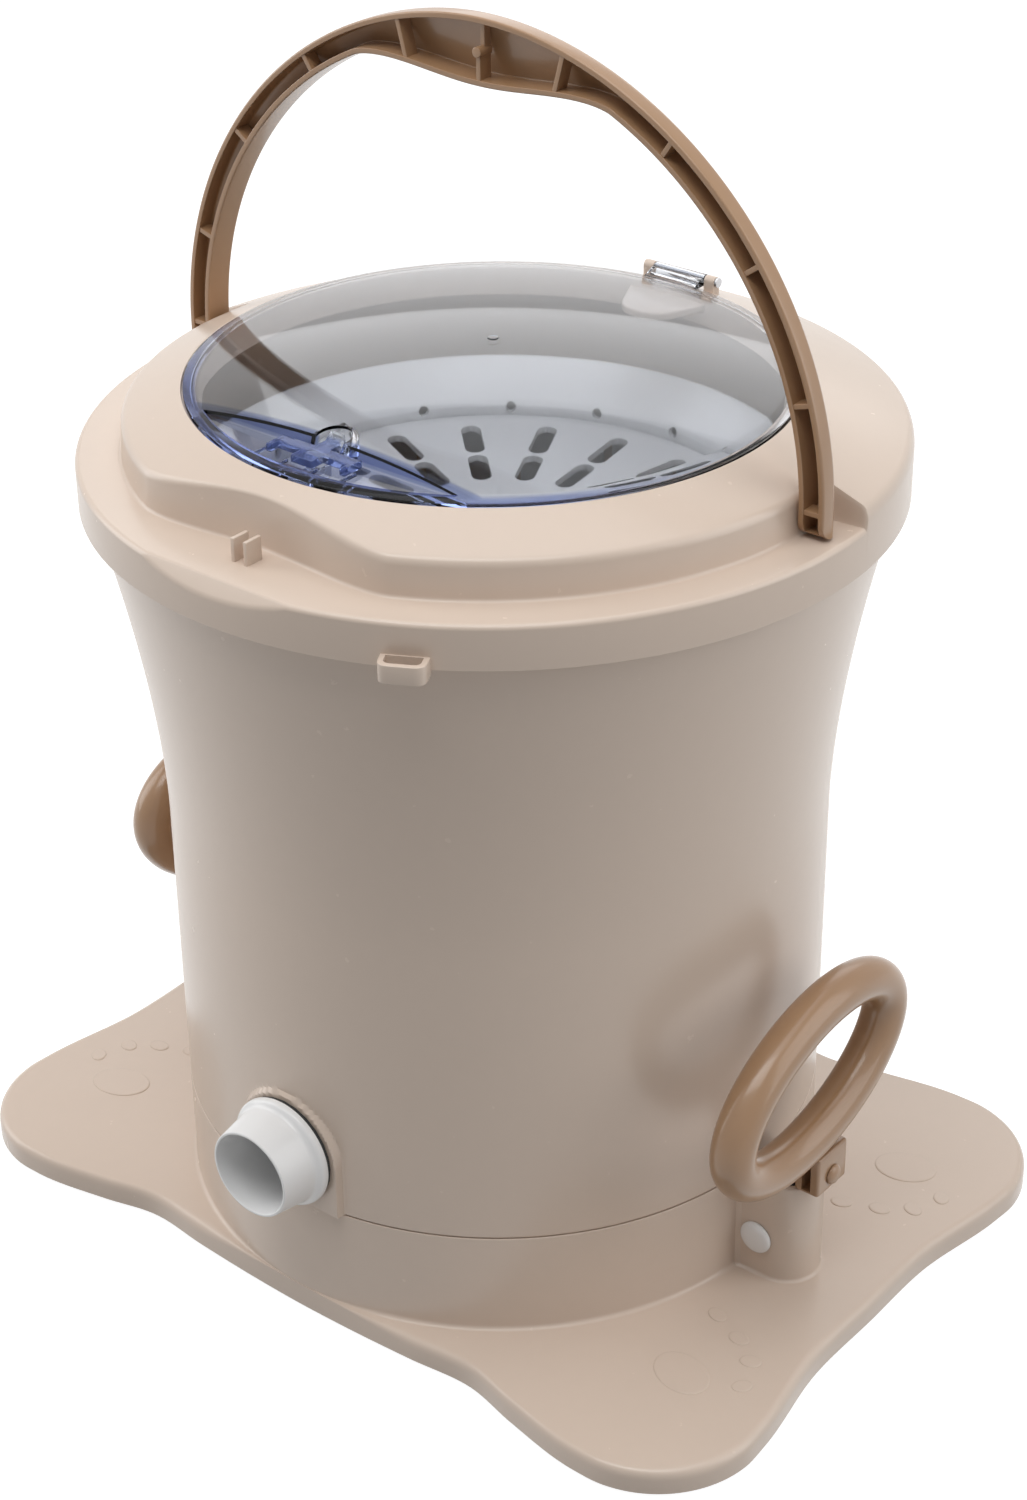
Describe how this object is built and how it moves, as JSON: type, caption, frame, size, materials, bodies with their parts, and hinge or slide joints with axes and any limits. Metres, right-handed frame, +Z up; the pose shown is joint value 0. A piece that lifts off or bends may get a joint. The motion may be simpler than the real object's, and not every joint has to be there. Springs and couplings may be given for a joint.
{
  "type": "manual washing machine",
  "caption": "Hand-pulled tabletop washing machine: flared tub, spin basket, domed window in a lid with a bail handle, and rope pulls with oval rings.",
  "frame": {"origin": "on the floor, below the middle of the base and of the spin shaft", "axes": "+Z up, +X towards the right pull as seen from the drain, -Y towards the drain and the window's latch"},
  "size_m": [0.385, 0.31, 0.4889],
  "materials": {
    "beige_plastic": "glossy warm beige moulding",
    "brown_plastic": "satin brown moulding",
    "white_plastic": "glossy white moulding",
    "clear_plastic": "polished clear plastic with blue edges",
    "rubber": "matt black rubber",
    "rope": "black braided cord",
    "steel": "plain steel",
    "brass": "sintered bronze bush"
  },
  "bodies": {
    "machine": {"base_plate": "beige_plastic", "base_cover": "beige_plastic", "cover_screw_1": "steel", "cover_screw_2": "steel", "cover_screw_3": "steel", "cover_screw_4": "steel", "bridge_screw_1": "steel", "bridge_screw_2": "steel", "foot_1": "rubber", "foot_2": "rubber", "foot_3": "rubber", "foot_4": "rubber", "tub": "beige_plastic", "shaft_seal": "rubber", "drain_washer": "rubber", "drain_spigot": "white_plastic", "drain_nut": "white_plastic", "spool_bridge": "beige_plastic", "lower_bush": "brass", "upper_bush": "brass", "return_spring_lower": "steel", "return_spring_upper": "steel", "roller_pin_right": "white_plastic", "roller_pin_left": "white_plastic", "rope_run_right": "rope", "rope_run_left": "rope", "pull_rope_right": "rope", "pull_rope_left": "rope"},
    "basket": {"drive_shaft": "steel", "hub_nut": "steel", "spin_basket": "white_plastic", "basket_collar": "white_plastic"},
    "cover": {"basket_cover": "white_plastic"},
    "lid": {"lid": "beige_plastic", "window_hinge_pin": "steel"},
    "window": {"window": "clear_plastic"},
    "latch": {"window_latch": "clear_plastic"},
    "handle": {"bail_handle": "brown_plastic"},
    "spool_lower": {"rope_spool_lower": "white_plastic", "rope_winding_lower": "rope", "one_way_clutch_lower": "steel"},
    "spool_upper": {"rope_spool_upper": "white_plastic", "rope_winding_upper": "rope", "one_way_clutch_upper": "steel"},
    "roller_right": {"guide_roller_right": "white_plastic"},
    "roller_left": {"guide_roller_left": "white_plastic"},
    "pull_right": {"pull_plug_right": "brown_plastic", "ring_pin_right": "brown_plastic"},
    "ring_right": {"pull_ring_right": "brown_plastic"},
    "pull_left": {"pull_plug_left": "brown_plastic", "ring_pin_left": "brown_plastic"},
    "ring_left": {"pull_ring_left": "brown_plastic"}
  },
  "joints": [
    {"name": "lid_lift", "type": "slide", "parent": "machine", "child": "lid", "axis": [0, 0, 1], "range_m": [0, 0.08]},
    {"name": "handle_swing", "type": "hinge", "parent": "lid", "child": "handle", "pos_m": [0, 0, 0.3406], "axis": [1, 0, 0], "range_deg": [-6, 90]},
    {"name": "window_open", "type": "hinge", "parent": "lid", "child": "window", "pos_m": [0, 0.1175, 0.36], "axis": [-1, 0, 0], "range_deg": [0, 20]},
    {"name": "window_latch_slide", "type": "slide", "parent": "window", "child": "latch", "axis": [0, -1, 0], "range_m": [0, 0.0035]},
    {"name": "basket_spin", "type": "hinge", "parent": "machine", "child": "basket", "pos_m": [0, 0, 0.1], "axis": [0, 0, 1], "continuous": true},
    {"name": "basket_cover_lift", "type": "slide", "parent": "basket", "child": "cover", "axis": [0, 0, 1], "range_m": [0, 0.05]},
    {"name": "pull_right_draw", "type": "slide", "parent": "machine", "child": "pull_right", "axis": [0.1045, 0, 0.9945], "range_m": [0, 0.45], "stiffness_N_per_m": 20, "deforming": ["pull_rope_right"]},
    {"name": "ring_right_swivel", "type": "hinge", "parent": "pull_right", "child": "ring_right", "pos_m": [0.1582, 0, 0.065], "axis": [-1, 0, 0], "range_deg": [0, 23]},
    {"name": "roller_right_turn", "type": "hinge", "parent": "machine", "child": "roller_right", "pos_m": [0.139, 0, 0.0306], "axis": [0, -1, 0], "continuous": true},
    {"name": "spool_lower_turn", "type": "hinge", "parent": "machine", "child": "spool_lower", "pos_m": [0, 0, 0.0195], "axis": [0, 0, -1], "continuous": true},
    {"name": "pull_left_draw", "type": "slide", "parent": "machine", "child": "pull_left", "axis": [-0.1045, 0, 0.9945], "range_m": [0, 0.45], "stiffness_N_per_m": 20, "deforming": ["pull_rope_left"]},
    {"name": "ring_left_swivel", "type": "hinge", "parent": "pull_left", "child": "ring_left", "pos_m": [-0.1582, 0, 0.065], "axis": [1, 0, 0], "range_deg": [0, 23]},
    {"name": "roller_left_turn", "type": "hinge", "parent": "machine", "child": "roller_left", "pos_m": [-0.139, 0, 0.0306], "axis": [0, 1, 0], "continuous": true},
    {"name": "spool_upper_turn", "type": "hinge", "parent": "machine", "child": "spool_upper", "pos_m": [0, 0, 0.034], "axis": [0, 0, -1], "continuous": true}
  ],
  "couplings": [
    {"joint": "roller_right_turn", "follows": "pull_right_draw", "rad_per_m": 137},
    {"joint": "spool_lower_turn", "follows": "pull_right_draw", "rad_per_m": 28.7},
    {"joint": "roller_left_turn", "follows": "pull_left_draw", "rad_per_m": 137},
    {"joint": "spool_upper_turn", "follows": "pull_left_draw", "rad_per_m": 28.7}
  ]
}
